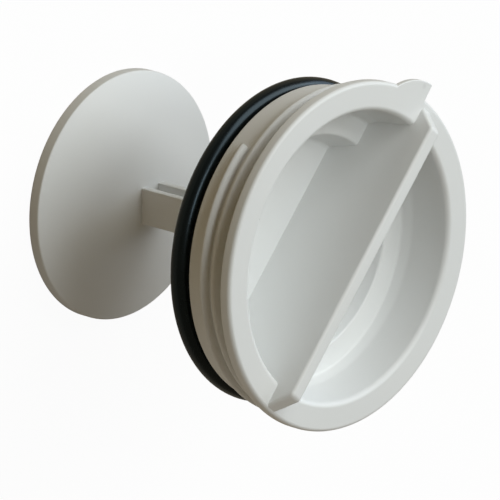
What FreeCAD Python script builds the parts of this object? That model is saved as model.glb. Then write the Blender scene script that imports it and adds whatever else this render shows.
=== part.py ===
import FreeCAD, Part
import math
import os

# Screw-in pump filter: a cap with a grip bar, a sealing ring, and a dished disc on a stem.
# It stands on the disc's edge. +Z runs along the axis, out of the cap's front, and the grip
# bar lies along Y. Depths are measured from the front face of the cap's rim. Sizes in mm.

# Whole filter
rim_height = 60.8            # from the disc's standing edge to the rim's front face

# Rim of the cap
rim_dia = 68.0
rim_thickness = 2.4
rim_edge_round = 0.4

# Finger recess: a drafted wall, a sloping band, a flat ledge and a deeper pocket
mouth_dia = 56.7
mouth_round = 1.0
wall_foot_dia = 54.6
wall_foot_depth = 8.3
ledge_outer_dia = 52.8
ledge_inner_dia = 43.4
ledge_depth = 10.3
pocket_floor_dia = 39.6
pocket_depth = 16.5
floor_thickness = 2.5
cap_wall = 2.2               # wall left round the pocket and behind the seal's groove

# Grip bar across the recess
bar_thickness = 3.1
bar_proud = 4.4              # height of its top above the rim's front face
bar_end_run = 3.4            # length of the slope at each end
bar_end_inset = 0.6          # from the foot of that slope to the rim's outside, at the plain end
bar_tab_end_inset = 1.5      # the same at the +Y end, beside the pointer tab
bar_edge_round = 0.7

# Pointer tab on the rim, angles counter-clockwise from the bar's +Y end
tab_thickness = 1.0          # it is flush with the rim's front face
tab_reach = 3.3
tab_steep_angle = 3.0
tab_ramp_angle = 20.0        # where the ramp ends, at the tab's root inside the rim
tab_ramp_bulge = 0.92        # how far the ramp bows out from a straight line
tab_tip_round = 0.3

# Screw thread, one right-hand ridge
thread_core_dia = 61.8
thread_height = 1.5
thread_pitch = 3.0
thread_turns = 1.28
thread_root_width = 2.0
thread_flank_width = 1.5     # between the flanks' upper ends, where the crest's bevels begin
thread_crest_width = 0.7
thread_crest_bevel = 0.35    # height of those bevels
thread_start_depth = 9.3     # middle of the ridge at its squared lower end
thread_start_angle = 80.7    # counter-clockwise from the bar's +Y end

# Groove and sealing ring
shoulder_depth = 13.3        # end of the threaded barrel, where the groove begins
shoulder_round = 0.4
groove_dia = 55.6
groove_width = 5.0
groove_lip_height = 1.0
groove_lip_width = 0.8
seal_cord_dia = 3.8
seal_seat_gap = 0.1          # between the ring and the groove's bottom and rear side

# Stem, an H-section turned away from the bar
stem_height = 7.0
stem_width = 6.3
stem_wall = 1.6
stem_turn = 38.7             # counter-clockwise from the bar's +Y end

# Catch disc, a shallow cone with its top towards the cap
disc_dia = 49.5
disc_edge = 2.4
disc_rise = 7.2
disc_top_dia = 9.9
disc_wall = 2.0              # measured along the axis
disc_foot_width = 1.2

# Levels
groove_end_depth = shoulder_depth + groove_width
back_depth = max(pocket_depth + floor_thickness, groove_end_depth + groove_lip_width)
seal_depth = groove_end_depth - seal_seat_gap - seal_cord_dia / 2
overlap = 0.5                # how far pieces of the moulding run into each other before they are joined

quarter_turn = 90            # from the bar's +Y end to +X, where a sweep about the axis begins
axis = FreeCAD.Vector(0, 0, 1)
origin = FreeCAD.Vector(0, 0, 0)


def at_depth(depth):
    return rim_height - depth


def section_point(radius, height):
    return FreeCAD.Vector(radius, 0, height)


def plan_point(radius, angle):
    """A point in the plane of the rim, its angle counter-clockwise from the bar's +Y end."""
    turn = math.radians(angle)
    return FreeCAD.Vector(-radius * math.sin(turn), radius * math.cos(turn), 0)


def rounded_outline(corners):
    """A closed wire through corners (point, rounding), with an arc at each rounded one."""
    stations = []
    for index, (corner, rounding) in enumerate(corners):
        if not rounding:
            stations.append((corner, corner, None))
            continue
        before = (corners[index - 1][0] - corner).normalize()
        after = (corners[(index + 1) % len(corners)][0] - corner).normalize()
        half = before.getAngle(after) / 2
        reach = rounding / math.tan(half)
        middle = (before + after).normalize()
        crown = corner + middle * (rounding / math.sin(half) - rounding)
        stations.append((corner + before * reach, corner + after * reach, crown))
    edges = []
    for index, (entry, leave, crown) in enumerate(stations):
        if crown is not None:
            edges.append(Part.Arc(entry, crown, leave).toShape())
        following = stations[(index + 1) % len(stations)][0]
        edges.append(Part.LineSegment(leave, following).toShape())
    return Part.Wire(edges)


def turned(corners):
    """The solid that a section of (radius, height, rounding) corners makes about the axis."""
    outline = rounded_outline([(section_point(r, h), rounding) for r, h, rounding in corners])
    return Part.Face(outline).revolve(origin, axis, 360)


def cap_blank():
    """The cap from outside: rim, threaded barrel, groove and lip, with no recess yet."""
    rim = rim_dia / 2
    barrel = thread_core_dia / 2
    groove = groove_dia / 2
    lip = groove + groove_lip_height
    return turned([
        (0, at_depth(0), 0),
        (rim, at_depth(0), rim_edge_round),
        (rim, at_depth(rim_thickness), 0),
        (barrel, at_depth(rim_thickness), 0),
        (barrel, at_depth(shoulder_depth), shoulder_round),
        (groove, at_depth(shoulder_depth), 0),
        (groove, at_depth(groove_end_depth), 0),
        (lip, at_depth(groove_end_depth), 0),
        (lip, at_depth(back_depth), 0),
        (0, at_depth(back_depth), 0),
    ])


def bar_slab(top_depth, bottom_depth):
    """A plate of the bar's thickness across the whole cap, between two depths."""
    length = rim_dia
    corner = FreeCAD.Vector(-bar_thickness / 2, -length / 2, at_depth(bottom_depth))
    return Part.makeBox(bar_thickness, length, bottom_depth - top_depth, corner)


def finger_recess():
    """The hollow on both sides of the bar."""
    mouth = mouth_dia / 2
    flare = mouth + mouth_round
    rounding_top = section_point(flare, at_depth(0))
    rounding_foot = section_point(mouth, at_depth(mouth_round))
    diagonal = mouth_round * (1 - math.sqrt(0.5))
    rounding_middle = section_point(mouth + diagonal, at_depth(diagonal))
    wall_foot = section_point(wall_foot_dia / 2, at_depth(wall_foot_depth))
    ledge_outer = section_point(ledge_outer_dia / 2, at_depth(ledge_depth))
    ledge_inner = section_point(ledge_inner_dia / 2, at_depth(ledge_depth))
    floor_edge = section_point(pocket_floor_dia / 2, at_depth(pocket_depth))
    floor_middle = section_point(0, at_depth(pocket_depth))
    top_middle = section_point(0, at_depth(-overlap))
    top_edge = section_point(flare, at_depth(-overlap))
    walls = [rounding_foot, wall_foot, ledge_outer, ledge_inner, floor_edge]
    straight = walls + [floor_middle, top_middle, top_edge, rounding_top]
    edges = [Part.LineSegment(start, end).toShape() for start, end in zip(straight, straight[1:])]
    edges.append(Part.Arc(rounding_top, rounding_middle, rounding_foot).toShape())
    hollow = Part.Face(Part.Wire(edges)).revolve(origin, axis, 360)
    return hollow.cut(bar_slab(-bar_proud, pocket_depth + overlap))


def back_core():
    """The ring-shaped hollow in the cap's back, between the pocket's wall and the seal's groove."""
    outer = groove_dia / 2 - cap_wall
    inner_deep = ledge_inner_dia / 2 + cap_wall
    inner_back = pocket_floor_dia / 2 + cap_wall
    top = ledge_depth + cap_wall
    return turned([
        (inner_deep, at_depth(top), 0),
        (outer, at_depth(top), 0),
        (outer, at_depth(back_depth + overlap), 0),
        (inner_back, at_depth(back_depth + overlap), 0),
    ])


def grip_bar():
    """The part of the bar that stands proud of the rim, with sloping ends."""
    plain_foot = bar_end_inset - rim_dia / 2
    tab_foot = rim_dia / 2 - bar_tab_end_inset
    profile = [
        (plain_foot, at_depth(overlap)),
        (plain_foot, at_depth(0)),
        (plain_foot + bar_end_run, at_depth(-bar_proud)),
        (tab_foot - bar_end_run, at_depth(-bar_proud)),
        (tab_foot, at_depth(0)),
        (tab_foot, at_depth(overlap)),
    ]
    corners = [FreeCAD.Vector(-bar_thickness / 2, along, height) for along, height in profile]
    outline = Part.makePolygon(corners + corners[:1])
    bar = Part.Face(outline).extrude(FreeCAD.Vector(bar_thickness, 0, 0))
    upper = [edge for edge in bar.Edges if edge.BoundBox.ZMax > at_depth(-overlap)]
    return bar.makeFillet(bar_edge_round, upper)


def pointer_tab():
    """The fin on the rim's outside: a steep side by the bar and a bowed ramp away from it."""
    root = rim_dia / 2 - rim_edge_round - overlap
    tip = rim_dia / 2 + tab_reach
    tip_point = plan_point(tip, tab_steep_angle)
    ramp_end = plan_point(root, tab_ramp_angle)
    ramp_middle_angle = (tab_steep_angle + tab_ramp_angle) / 2
    ramp_middle = plan_point((root + tip) / 2 + tab_ramp_bulge, ramp_middle_angle)
    root_point = plan_point(root, tab_steep_angle)
    edges = [
        Part.LineSegment(root_point, tip_point).toShape(),
        Part.Arc(tip_point, ramp_middle, ramp_end).toShape(),
        Part.LineSegment(ramp_end, root_point).toShape(),
    ]
    fin = Part.Face(Part.Wire(edges)).extrude(FreeCAD.Vector(0, 0, tab_thickness))
    tip_edge = max(fin.Edges, key=lambda edge: math.hypot(edge.CenterOfMass.x, edge.CenterOfMass.y))
    fin = fin.makeFillet(tab_tip_round, [tip_edge])
    fin.translate(FreeCAD.Vector(0, 0, at_depth(tab_thickness)))
    return fin


def thread_ridge():
    """The coarse ridge that screws into the housing, bevelled on top and squared at both ends."""
    core = thread_core_dia / 2
    root = core - overlap
    crest = core + thread_height
    flank_top = crest - thread_crest_bevel
    flank_slope = (thread_root_width - thread_flank_width) / 2 / (flank_top - core)
    root_half = thread_root_width / 2 + flank_slope * overlap
    flank_half = thread_flank_width / 2
    crest_half = thread_crest_width / 2
    upper = [(root, root_half), (flank_top, flank_half), (crest, crest_half)]
    lower = [(radius, -half) for radius, half in reversed(upper)]
    outline = [section_point(radius, height) for radius, height in upper + lower]
    section = Part.makePolygon(outline + outline[:1])
    path = Part.Wire(Part.makeHelix(thread_pitch, thread_pitch * thread_turns, core))
    ridge = path.makePipeShell([section], True, True)
    ridge.rotate(origin, axis, thread_start_angle + quarter_turn)
    ridge.translate(FreeCAD.Vector(0, 0, at_depth(thread_start_depth)))
    return ridge


def disc_top(offset):
    """Height of the cone's flat top, less an offset along the axis."""
    return disc_edge + disc_rise - offset


def stem_plate(width, depth, middle):
    """One upright plate of the stem, from inside the disc's top to inside the cap's floor."""
    bottom = disc_top(disc_wall / 2)
    top = at_depth(back_depth - overlap)
    corner = FreeCAD.Vector(middle - width / 2, -depth / 2, bottom)
    return Part.makeBox(width, depth, top - bottom, corner)


def stem():
    """Two flanges and the web between them."""
    flange_middle = (stem_width - stem_wall) / 2
    web = stem_plate(stem_width, stem_wall, 0)
    flanges = [stem_plate(stem_wall, stem_height, side * flange_middle) for side in (-1, 1)]
    shape = web.fuse(flanges).removeSplitter()
    shape.rotate(origin, axis, stem_turn)
    return shape


def catch_disc():
    """The dished disc, hollow behind, that stands on the rim of its cone."""
    edge = disc_dia / 2
    top = disc_top_dia / 2
    return turned([
        (0, disc_top(0), 0),
        (top, disc_top(0), 0),
        (edge, disc_edge, 0),
        (edge, 0, 0),
        (edge - disc_foot_width, 0, 0),
        (top, disc_top(disc_wall), 0),
        (0, disc_top(disc_wall), 0),
    ])


def filter_body():
    """The white moulding, in one piece."""
    body = cap_blank().fuse([thread_ridge(), pointer_tab()])
    body = body.cut([finger_recess(), back_core()])
    body = body.fuse([grip_bar(), stem(), catch_disc()])
    return body.removeSplitter().Solids[0]


def seal_ring():
    """The rubber ring, seated in the middle of its groove."""
    cord = seal_cord_dia / 2
    centre = groove_dia / 2 + seal_seat_gap + cord
    return Part.makeTorus(centre, cord, FreeCAD.Vector(0, 0, at_depth(seal_depth)), axis)


os.makedirs("parts", exist_ok=True)
pieces = {"filter_body": filter_body(), "seal_ring": seal_ring()}
for name, shape in pieces.items():
    shape.exportStep(f"parts/{name}.step")
    print(name, shape.ShapeType, "valid" if shape.isValid() else "not valid", shape.BoundBox)
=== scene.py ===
import bmesh
import bpy
import math
from mathutils import Matrix, Vector


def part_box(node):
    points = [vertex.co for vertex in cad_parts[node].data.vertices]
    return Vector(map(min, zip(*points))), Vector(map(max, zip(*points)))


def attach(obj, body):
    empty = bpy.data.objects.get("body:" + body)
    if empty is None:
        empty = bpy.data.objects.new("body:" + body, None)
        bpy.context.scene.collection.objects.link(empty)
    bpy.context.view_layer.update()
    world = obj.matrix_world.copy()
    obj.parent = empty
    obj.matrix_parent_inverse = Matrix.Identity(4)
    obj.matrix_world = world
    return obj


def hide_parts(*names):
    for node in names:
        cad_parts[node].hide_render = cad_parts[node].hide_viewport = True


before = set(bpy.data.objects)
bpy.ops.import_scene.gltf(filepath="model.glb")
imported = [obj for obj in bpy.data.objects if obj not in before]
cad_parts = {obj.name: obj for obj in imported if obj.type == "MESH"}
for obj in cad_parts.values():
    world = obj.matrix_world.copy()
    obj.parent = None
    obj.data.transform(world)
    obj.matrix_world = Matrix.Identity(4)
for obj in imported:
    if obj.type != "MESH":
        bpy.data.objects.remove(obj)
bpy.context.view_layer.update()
body_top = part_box("filter_body")[1].z

# Cap of the white moulding. Depths run down from the front face of the cap's rim.
mm = 0.001
rim_front = 60.8 * mm
rim_radius = 34.0 * mm
rim_thickness = 2.4 * mm
rim_edge_round = 0.8 * mm
rim_back_round = 0.25 * mm
mouth_radius = 28.35 * mm
mouth_round = 1.0 * mm
wall_foot_radius = 27.3 * mm
wall_foot_depth = 8.3 * mm
ledge_outer_radius = 26.4 * mm
ledge_inner_radius = 21.7 * mm
ledge_depth = 10.3 * mm
ledge_round = 0.4 * mm
pocket_floor_radius = 19.8 * mm
pocket_depth = 16.5 * mm
pocket_round = 0.7 * mm
barrel_radius = 30.9 * mm
shoulder_depth = 13.3 * mm
shoulder_round = 0.4 * mm
groove_radius = 27.8 * mm
groove_end_depth = 18.3 * mm
lip_radius = 28.8 * mm
back_depth = 19.1 * mm
core_outer_radius = 25.6 * mm
core_top_depth = 12.5 * mm
core_inner_top_radius = 23.9 * mm
core_inner_back_radius = 22.0 * mm
small_round = 0.25 * mm

# Grip bar
bar_thickness = 3.1 * mm
bar_proud = body_top - rim_front
bar_half_length = 32.95 * mm
bar_shift = -0.45 * mm
bar_end_run = 3.4 * mm
bar_edge_round = 0.7 * mm
root_depth = 0.5 * mm
wall_bite = 1.2 * mm

# Pointer tab. Angles are in degrees, counter-clockwise from the bar's +Y end.
tab_tip_radius = 37.2 * mm
tab_thickness = 1.0 * mm
tab_steep_angle = 3.0
tab_ramp_angle = 17.9
tab_ramp_radius = 12.3 * mm
tab_root_radius = 31.0 * mm
tab_tip_round = 0.3 * mm
tab_edge_round = 0.25 * mm
flush_gap = 0.01 * mm

# Screw thread, one right-hand ridge with an oval section
thread_pitch = 3.0 * mm
thread_turns = 1.28
thread_height = 1.5 * mm
thread_sink = 0.4 * mm
thread_half_width = 1.0 * mm
thread_start_depth = 9.3 * mm
thread_start_angle = 80.7

# Stem and catch disc
stem_height = 7.3 * mm
stem_width = 6.3 * mm
stem_wall = 1.6 * mm
stem_turn = 42.5
disc_radius = 24.75 * mm
disc_edge = 2.4 * mm
disc_top_height = 9.6 * mm
disc_top_radius = 4.95 * mm
disc_wall = 2.0 * mm
disc_foot_width = 1.2 * mm

# Fineness of the mesh, and what counts as a corner or as facing a side. Angles are in degrees.
ring_steps = 360
tab_ramp_steps = 120
thread_section_steps = 24
fine_segments = 3
broad_segments = 6
bar_segments = 5
tab_segments = 4
stem_segments = 2
corner_angle = 30
facing = 0.9
smooth_angle = 32
tolerance = 0.001 * mm
quarter_turn = 90
origin = (0, 0, 0)

# Handling marks on the white plastic
rim_speck = (-27.9 * mm, -7.0 * mm, rim_front - 0.2 * mm)
rim_speck_radius = 0.35 * mm
tab_smudge = (-4.0 * mm, 35.8 * mm, rim_front)
tab_smudge_radius = 0.9 * mm

# White ground: how much of it is plain white, the rest being the floor's own shading with the
# shadow, and how much of it satin plastic and rubber mirror in an otherwise dim room
white_share = 0.955
mirror_share = 0.05

# Paper floor that bounces a warm light, dim warm room, and lamps
floor_size = 6
plain_white = (1, 1, 1, 1)
paper_white = (0.9, 0.9, 0.9, 1)
paper_bounce = (0.31, 0.25, 0.165, 1)
room_colour = (1.0, 0.7, 0.28, 1)
room_strength = 0.09
lamp_distance = 1.2

# Camera, from the outline of the rim, ring and disc in the picture
picture_size = 500
camera_azimuth = -71.3
camera_elevation = 39.18
camera_roll = 105.48
camera_distance = 1.5
camera_reach = 20
camera_focal_pixels = 7912
rim_centre_pixel = (350.5, 257.4)
sensor_width = 36.0


def at_depth(depth):
    return rim_front - depth


def deselect_all():
    if bpy.context.object and bpy.context.object.mode != "OBJECT":
        bpy.ops.object.mode_set(mode="OBJECT")
    bpy.ops.object.select_all(action="DESELECT")


def take_up(piece):
    """Selects one piece alone and makes it the active one."""
    deselect_all()
    piece.select_set(True)
    bpy.context.view_layer.objects.active = piece


def name_piece(name):
    piece = bpy.context.object
    piece.name = name
    piece.data.name = name
    return piece


def pick_edges(test):
    """Selects the edges of the mesh in edit mode that pass a test, and nothing else."""
    mesh = bmesh.from_edit_mesh(bpy.context.object.data)
    bpy.ops.mesh.select_mode(type="EDGE")
    bpy.ops.mesh.select_all(action="DESELECT")
    for edge in mesh.edges:
        edge.select_set(test(edge))
    bmesh.update_edit_mesh(bpy.context.object.data)


def pick_faces(test):
    """Selects the faces of the mesh in edit mode that pass a test, and nothing else."""
    mesh = bmesh.from_edit_mesh(bpy.context.object.data)
    bpy.ops.mesh.select_mode(type="FACE")
    bpy.ops.mesh.select_all(action="DESELECT")
    for face in mesh.faces:
        face.select_set(test(face))
    bmesh.update_edit_mesh(bpy.context.object.data)


def face_outwards():
    bpy.ops.mesh.select_all(action="SELECT")
    bpy.ops.mesh.normals_make_consistent(inside=False)


def near(value, target):
    return abs(value - target) < tolerance


def radius_of(point):
    return math.hypot(point.x, point.y)


def on_ring(edge, radius, height):
    return all(near(radius_of(v.co), radius) and near(v.co.z, height) for v in edge.verts)


def round_edges(test, rounding, segments=fine_segments):
    pick_edges(test)
    bpy.ops.mesh.bevel(offset=rounding, segments=segments, affect="EDGES")


def round_ring(radius, height, rounding, segments=fine_segments):
    round_edges(lambda edge: on_ring(edge, radius, height), rounding, segments)


def lathe(name, rings):
    """A closed body of rings (radius, height): each is extruded from the one before, as on a lathe."""
    deselect_all()
    first_radius, first_height = rings[0]
    bpy.ops.mesh.primitive_circle_add(
        vertices=ring_steps, radius=first_radius, fill_type="NGON", enter_editmode=True)
    piece = name_piece(name)
    bpy.ops.transform.translate(value=(0, 0, first_height))
    bpy.ops.mesh.select_mode(type="EDGE")
    for (radius, height), (next_radius, next_height) in zip(rings, rings[1:]):
        bpy.ops.mesh.extrude_edges_move(TRANSFORM_OT_translate={"value": (0, 0, next_height - height)})
        grow = next_radius / radius
        bpy.ops.transform.resize(value=(grow, grow, 1), center_override=origin)
    bpy.ops.mesh.edge_face_add()
    face_outwards()
    return piece


def plan_point(radius, angle):
    """A point on the rim's plan, its angle in degrees counter-clockwise from the bar's +Y end."""
    turn = math.radians(angle)
    return Vector((-radius * math.sin(turn), radius * math.cos(turn), 0))


def make_tab():
    """The pointer tab: a round plate for the bowed ramp, cut off steeply beside the bar."""
    deselect_all()
    tip = plan_point(tab_tip_radius, tab_steep_angle)
    ramp_end = plan_point(rim_radius, tab_ramp_angle)
    chord = ramp_end - tip
    inward = Vector((-chord.y, chord.x, 0)).normalized()
    centre = (tip + ramp_end) / 2 + inward * math.sqrt(tab_ramp_radius ** 2 - (chord.length / 2) ** 2)
    bpy.ops.mesh.primitive_cylinder_add(
        vertices=tab_ramp_steps, radius=tab_ramp_radius, depth=tab_thickness, enter_editmode=True)
    tab = name_piece("pointer_tab")
    bpy.ops.transform.translate(value=(centre.x, centre.y, at_depth(flush_gap + tab_thickness / 2)))
    bpy.ops.mesh.select_all(action="SELECT")
    steep_side = plan_point(1, tab_steep_angle - quarter_turn)
    bpy.ops.mesh.bisect(plane_co=origin, plane_no=steep_side, use_fill=True, clear_outer=True)
    round_edges(lambda edge: all((v.co.xy - tip.xy).length < flush_gap for v in edge.verts),
                tab_tip_round, tab_segments)
    front = at_depth(flush_gap)
    round_edges(lambda edge: all(near(v.co.z, front) for v in edge.verts), tab_edge_round, tab_segments)
    bpy.ops.mesh.select_all(action="SELECT")
    root = plan_point(tab_root_radius, tab_steep_angle)
    bpy.ops.mesh.bisect(plane_co=root, plane_no=root.normalized(), use_fill=True, clear_inner=True)
    face_outwards()
    return tab


def make_cap():
    """The cap without its bar and tab: pocket, ledge, wall, rim, barrel, groove, lip and cored back."""
    floor, ledge, front = at_depth(pocket_depth), at_depth(ledge_depth), at_depth(0)
    wall_foot, rim_back = at_depth(wall_foot_depth), at_depth(rim_thickness)
    shoulder, groove_end, back = at_depth(shoulder_depth), at_depth(groove_end_depth), at_depth(back_depth)
    core_top = at_depth(core_top_depth)
    cap = lathe("cap", [
        (pocket_floor_radius, floor),
        (ledge_inner_radius, ledge),
        (ledge_outer_radius, ledge),
        (wall_foot_radius, wall_foot),
        (mouth_radius, front),
        (rim_radius, front),
        (rim_radius, rim_back),
        (barrel_radius, rim_back),
        (barrel_radius, shoulder),
        (groove_radius, shoulder),
        (groove_radius, groove_end),
        (lip_radius, groove_end),
        (lip_radius, back),
        (core_outer_radius, back),
        (core_outer_radius, core_top),
        (core_inner_top_radius, core_top),
        (core_inner_back_radius, back),
    ])
    round_ring(rim_radius, front, rim_edge_round, broad_segments)
    round_ring(rim_radius, rim_back, rim_back_round)
    round_ring(mouth_radius, front, mouth_round, broad_segments)
    round_ring(pocket_floor_radius, floor, pocket_round)
    round_ring(ledge_inner_radius, ledge, ledge_round)
    round_ring(ledge_outer_radius, ledge, ledge_round)
    round_ring(wall_foot_radius, wall_foot, ledge_round)
    round_ring(barrel_radius, rim_back, small_round)
    round_ring(barrel_radius, shoulder, shoulder_round)
    round_ring(lip_radius, groove_end, small_round)
    round_ring(lip_radius, back, small_round)
    return cap


def grow_bar(half_length, height, middle=0):
    """Extrudes the bar's top face to a height and stretches it about a middle to a half-length."""
    mesh = bmesh.from_edit_mesh(bpy.context.object.data)
    top = max(v.co.z for v in mesh.verts)
    reach = max(v.co.y for v in mesh.verts if v.select) - middle
    bpy.ops.mesh.extrude_region_move(TRANSFORM_OT_translate={"value": (0, 0, height - top)})
    bpy.ops.transform.resize(value=(1, half_length / reach, 1), center_override=(0, middle, 0))


def make_bar():
    """The grip bar, from its root in the pocket's floor to its top with the sloping ends."""
    deselect_all()
    bottom = at_depth(pocket_depth + root_depth)
    root_length = 2 * (pocket_floor_radius + wall_bite)
    step_height = at_depth(ledge_depth + root_depth)
    bpy.ops.mesh.primitive_plane_add(size=1, enter_editmode=True)
    bar = name_piece("grip_bar")
    bpy.ops.transform.resize(value=(bar_thickness, root_length, 1), center_override=origin)
    bpy.ops.transform.translate(value=(0, 0, bottom))
    bpy.ops.mesh.select_mode(type="FACE")
    grow_bar(ledge_inner_radius + wall_bite, step_height)
    grow_bar(mouth_radius + wall_bite, step_height)
    grow_bar(mouth_radius + wall_bite, at_depth(root_depth))
    grow_bar(bar_half_length, at_depth(root_depth))
    bpy.ops.transform.translate(value=(0, bar_shift, 0))
    grow_bar(bar_half_length, at_depth(0), bar_shift)
    grow_bar(bar_half_length - bar_end_run, at_depth(-bar_proud), bar_shift)
    face_outwards()
    proud = at_depth(-root_depth)
    round_edges(lambda edge: max(v.co.z for v in edge.verts) > proud, bar_edge_round, bar_segments)
    return bar


def make_thread():
    """The coarse ridge: an oval wound round the barrel, with a flat face at each end."""
    deselect_all()
    bpy.ops.mesh.primitive_circle_add(vertices=thread_section_steps, radius=1, enter_editmode=True)
    ridge = name_piece("thread_ridge")
    half_height = thread_height + thread_sink
    bpy.ops.transform.rotate(value=math.radians(quarter_turn), orient_axis="X", center_override=origin)
    bpy.ops.transform.resize(value=(half_height, 1, thread_half_width), center_override=origin)
    bpy.ops.transform.translate(value=(barrel_radius - thread_sink, 0, at_depth(thread_start_depth)))
    bpy.ops.object.mode_set(mode="OBJECT")
    winding = ridge.modifiers.new("winding", "SCREW")
    winding.angle = 2 * math.pi * thread_turns
    winding.screw_offset = thread_pitch * thread_turns
    winding.steps = winding.render_steps = int(ring_steps / 2 * thread_turns)
    bpy.ops.object.modifier_apply(modifier=winding.name)
    bpy.ops.object.mode_set(mode="EDIT")
    bpy.ops.mesh.select_mode(type="EDGE")
    bpy.ops.mesh.select_all(action="DESELECT")
    bpy.ops.mesh.select_non_manifold()
    bpy.ops.mesh.fill_holes(sides=0)
    face_outwards()
    bpy.ops.object.mode_set(mode="OBJECT")
    start_turn = math.radians(thread_start_angle + quarter_turn)
    ridge.data.transform(Matrix.Rotation(start_turn, 4, "Z"))
    return ridge


def is_stem_corner(edge):
    """True for a corner that runs along the stem, and not for a seam in a flat face."""
    rise = abs(edge.verts[0].co.z - edge.verts[1].co.z)
    return rise > stem_height and edge.calc_face_angle(0) > math.radians(corner_angle)


def make_stem():
    """The H-section stem: a web whose two ends are extruded into flanges."""
    deselect_all()
    bottom = disc_top_height - disc_wall / 2
    top = at_depth(back_depth - root_depth)
    bpy.ops.mesh.primitive_cube_add(size=1, enter_editmode=True)
    stem = name_piece("stem")
    bpy.ops.transform.resize(value=(stem_width, stem_wall, top - bottom), center_override=origin)
    bpy.ops.transform.translate(value=(0, 0, (top + bottom) / 2))
    flange_inside = stem_width / 2 - stem_wall
    for side in (-1, 1):
        bpy.ops.mesh.select_all(action="SELECT")
        bpy.ops.mesh.bisect(plane_co=(side * flange_inside, 0, 0), plane_no=(1, 0, 0))
    for side in (-1, 1):
        pick_faces(lambda face: face.normal.y * side > facing
                   and abs(face.calc_center_median().x) > flange_inside)
        flange_reach = side * (stem_height - stem_wall) / 2
        bpy.ops.mesh.extrude_region_move(TRANSFORM_OT_translate={"value": (0, flange_reach, 0)})
    face_outwards()
    round_edges(is_stem_corner, small_round, stem_segments)
    bpy.ops.object.mode_set(mode="OBJECT")
    stem.data.transform(Matrix.Rotation(math.radians(stem_turn), 4, "Z"))
    return stem


def make_disc():
    """The dished catch disc, hollow behind."""
    disc = lathe("catch_disc", [
        (disc_top_radius, disc_top_height),
        (disc_radius, disc_edge),
        (disc_radius, 0),
        (disc_radius - disc_foot_width, 0),
        (disc_top_radius, disc_top_height - disc_wall),
    ])
    round_ring(disc_radius, disc_edge, small_round)
    round_ring(disc_radius, 0, small_round)
    return disc


def join_to(base, addition):
    """Unites a piece with the moulding and removes the piece."""
    take_up(base)
    union = base.modifiers.new("union", "BOOLEAN")
    union.operation = "UNION"
    union.solver = "EXACT"
    union.object = addition
    bpy.ops.object.modifier_apply(modifier=union.name)
    bpy.data.objects.remove(addition)


def make_moulding():
    """The white moulding, in one piece."""
    moulding = make_cap()
    for addition in (make_tab(), make_bar(), make_thread(), make_disc(), make_stem()):
        join_to(moulding, addition)
    take_up(moulding)
    bpy.ops.object.shade_smooth_by_angle(angle=math.radians(smooth_angle))
    even = moulding.modifiers.new("even_normals", "WEIGHTED_NORMAL")
    even.keep_sharp = True
    bpy.ops.object.modifier_apply(modifier=even.name)
    moulding.name = "white_moulding"
    return moulding


class Field:
    """A shader socket that does sums: each operator adds a Math node."""

    def __init__(self, shader, socket):
        self.shader = shader
        self.socket = socket

    def math(self, operation, first, second):
        return self.shader.node("ShaderNodeMath", {"operation": operation}, {0: first, 1: second})

    def __add__(self, other):
        return self.math("ADD", self, other)

    def __radd__(self, other):
        return self.math("ADD", other, self)

    def __mul__(self, other):
        return self.math("MULTIPLY", self, other)

    def __rmul__(self, other):
        return self.math("MULTIPLY", other, self)


class Shader:
    """The nodes of a material or of the world."""

    def __init__(self, holder):
        holder.use_nodes = True
        self.holder = holder
        self.tree = holder.node_tree
        self.tree.nodes.clear()

    def node(self, kind, settings=None, inputs=None, output=0):
        """Adds a node with its settings, then its socket values or links, and gives one output."""
        made = self.tree.nodes.new(kind)
        for key, value in (settings or {}).items():
            setattr(made, key, value)
        for key, value in (inputs or {}).items():
            if isinstance(value, Field):
                self.tree.links.new(value.socket, made.inputs[key])
            else:
                made.inputs[key].default_value = value
        return Field(self, made.outputs[output]) if made.outputs else None

    def noise(self, place, scale, detail):
        return self.node("ShaderNodeTexNoise", inputs={"Vector": place, "Scale": scale, "Detail": detail})

    def blend(self, share, first, second):
        """Mixes two colours by a share."""
        return self.node("ShaderNodeMix", {"data_type": "RGBA"}, {0: share, 6: first, 7: second}, output=2)

    def spot(self, place, centre, radius):
        """One at a point of the object, fading to nothing at a radius."""
        away = self.node("ShaderNodeVectorMath", {"operation": "DISTANCE"}, {0: place, 1: centre},
                         output="Value")
        return self.node("ShaderNodeMapRange", {"interpolation_type": "SMOOTHSTEP"},
                         {"Value": away, "From Min": 0, "From Max": radius, "To Min": 1, "To Max": 0})

    def bump(self, height, strength, distance):
        return self.node("ShaderNodeBump",
                         inputs={"Height": height, "Strength": strength, "Distance": distance})

    def looked_at(self):
        """One for rays from the camera or through glass, and the mirror's share for mirrored rays."""
        straight = self.node("ShaderNodeLightPath", output="Is Camera Ray")
        mirrored = self.node("ShaderNodeLightPath", output="Is Glossy Ray")
        through = self.node("ShaderNodeLightPath", output="Is Transmission Ray")
        return straight + through + mirror_share * mirrored


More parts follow.
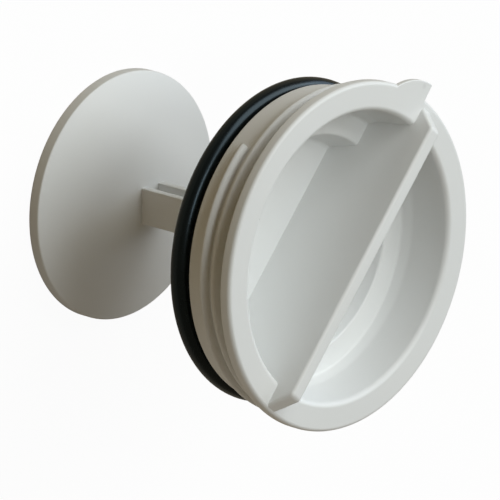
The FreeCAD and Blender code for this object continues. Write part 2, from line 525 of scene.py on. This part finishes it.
def white_plastic():
    """Moulded white plastic: faintly clouded and satin, with a fine grain, a speck and a smudge."""
    shader = Shader(bpy.data.materials.new("white_plastic"))
    place = shader.node("ShaderNodeTexCoord", output="Object")
    cloud = shader.noise(place, scale=70, detail=3)
    grain = shader.noise(place, scale=1400, detail=2)
    pit = shader.noise(place, scale=5200, detail=1)
    speck = 0.7 * shader.spot(place, rim_speck, rim_speck_radius)
    smudge = 0.22 * shader.spot(place, tab_smudge, tab_smudge_radius)
    clean = shader.blend(cloud, (0.775, 0.788, 0.788, 1), (0.8, 0.805, 0.798, 1))
    specked = shader.blend(speck, clean, (0.25, 0.22, 0.19, 1))
    surface = shader.node("ShaderNodeBsdfPrincipled", inputs={
        "Base Color": shader.blend(smudge, specked, (0.45, 0.44, 0.44, 1)),
        "Roughness": 0.36 + 0.12 * grain + 0.06 * cloud,
        "Specular IOR Level": 0.4,
        "Normal": shader.bump(0.7 * grain + 0.3 * pit, strength=0.12, distance=0.02 * mm),
    })
    shader.node("ShaderNodeOutputMaterial", inputs={"Surface": surface})
    return shader.holder


def black_rubber():
    """Black moulded rubber with a soft, slightly uneven sheen."""
    shader = Shader(bpy.data.materials.new("black_rubber"))
    place = shader.node("ShaderNodeTexCoord", output="Object")
    bloom = shader.noise(place, scale=130, detail=3)
    grain = shader.noise(place, scale=2600, detail=2)
    surface = shader.node("ShaderNodeBsdfPrincipled", inputs={
        "Base Color": shader.blend(bloom, (0.0022, 0.004, 0.0045, 1), (0.004, 0.0065, 0.0075, 1)),
        "Roughness": 0.23 + 0.08 * bloom,
        "Specular IOR Level": 0.4,
        "Specular Tint": (0.66, 0.86, 1.0, 1),
        "Normal": shader.bump(grain, strength=0.1, distance=0.015 * mm),
    })
    shader.node("ShaderNodeOutputMaterial", inputs={"Surface": surface})
    return shader.holder


def paper_floor():
    """Paper that looks all but white, with a share of its own shading so that the shadow stays."""
    shader = Shader(bpy.data.materials.new("paper_floor"))
    looked_at = shader.looked_at()
    paper = shader.node("ShaderNodeBsdfPrincipled", inputs={
        "Base Color": shader.blend(looked_at, paper_bounce, paper_white),
        "Roughness": 0.9,
        "Specular IOR Level": 0.0,
    })
    white = shader.node("ShaderNodeEmission", inputs={"Color": plain_white, "Strength": 1.0})
    mixed = shader.node("ShaderNodeMixShader", inputs={0: white_share * looked_at, 1: paper, 2: white})
    shader.node("ShaderNodeOutputMaterial", inputs={"Surface": mixed})
    return shader.holder


def make_floor():
    deselect_all()
    bpy.ops.mesh.primitive_plane_add(size=floor_size)
    floor = name_piece("floor")
    floor.data.materials.append(paper_floor())


def make_world():
    """A dim, warm room that looks white to the camera."""
    world = bpy.data.worlds.new("studio")
    bpy.context.scene.world = world
    shader = Shader(world)
    room = shader.node("ShaderNodeBackground", inputs={"Color": room_colour, "Strength": room_strength})
    white = shader.node("ShaderNodeBackground", inputs={"Color": plain_white, "Strength": 1.0})
    mixed = shader.node("ShaderNodeMixShader", inputs={0: shader.looked_at(), 1: room, 2: white})
    shader.node("ShaderNodeOutputWorld", inputs={"Surface": mixed})


def add_softbox(name, direction, size, power, colour):
    """A soft rectangular lamp that stands in a direction from the object and faces its middle."""
    target = Vector((0, 0, at_depth(0) / 2))
    place = target + Vector(direction).normalized() * lamp_distance
    deselect_all()
    bpy.ops.object.light_add(type="AREA", location=place)
    lamp = bpy.context.object
    lamp.name = name
    lamp.data.shape = "RECTANGLE"
    lamp.data.size, lamp.data.size_y = size
    lamp.data.energy = power
    lamp.data.color = colour
    lamp.rotation_euler = (target - place).to_track_quat("-Z", "Y").to_euler()
    return lamp


def add_camera():
    """The camera, turned so that the rim's centre comes to its place in the picture."""
    azimuth, elevation, roll = (math.radians(a) for a in (camera_azimuth, camera_elevation, camera_roll))
    level = math.cos(elevation)
    level_right = Vector((math.cos(azimuth), math.sin(azimuth), 0))
    back = Vector((math.sin(azimuth) * level, -math.cos(azimuth) * level, math.sin(elevation)))
    level_up = back.cross(level_right)
    right = level_right * math.cos(roll) + level_up * math.sin(roll)
    up = back.cross(right)
    eye = Vector((0, 0, rim_front)) + back * camera_distance
    off_right = (rim_centre_pixel[0] - picture_size / 2) / camera_focal_pixels
    off_down = (rim_centre_pixel[1] - picture_size / 2) / camera_focal_pixels
    back = (back + right * off_right - up * off_down).normalized()
    right = (right - back * right.dot(back)).normalized()
    up = back.cross(right)
    deselect_all()
    bpy.ops.object.camera_add()
    camera = bpy.context.object
    turn = Matrix((right, up, back)).transposed().to_4x4()
    camera.matrix_world = Matrix.Translation(eye) @ turn
    camera.data.sensor_width = sensor_width
    camera.data.lens = camera_focal_pixels / picture_size * sensor_width
    camera.data.clip_end = camera_reach
    bpy.context.scene.camera = camera


moulding = make_moulding()
moulding.data.materials.clear()
moulding.data.materials.append(white_plastic())
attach(moulding, "root")
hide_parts("filter_body")

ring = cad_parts["seal_ring"]
ring.data.materials.clear()
ring.data.materials.append(black_rubber())

make_floor()
make_world()
add_softbox("key", (-0.1, 0.7, 0.7), size=(1.4, 0.9), power=11.6, colour=(0.95, 1.0, 1.01))
add_softbox("front", (-0.32, 0.06, 0.95), size=(0.5, 0.5), power=4.1, colour=(0.94, 1.0, 1.01))
add_softbox("side", (0.5, 0.8, 0.33), size=(0.6, 0.6), power=2.1, colour=(0.82, 1.0, 1.25))
card = add_softbox("card", (0.36, -0.93, 0.03), size=(1.6, 0.12), power=2.5, colour=(0.96, 0.95, 0.93))
card.visible_glossy = False
add_camera()
bpy.context.scene.view_settings.view_transform = "Standard"
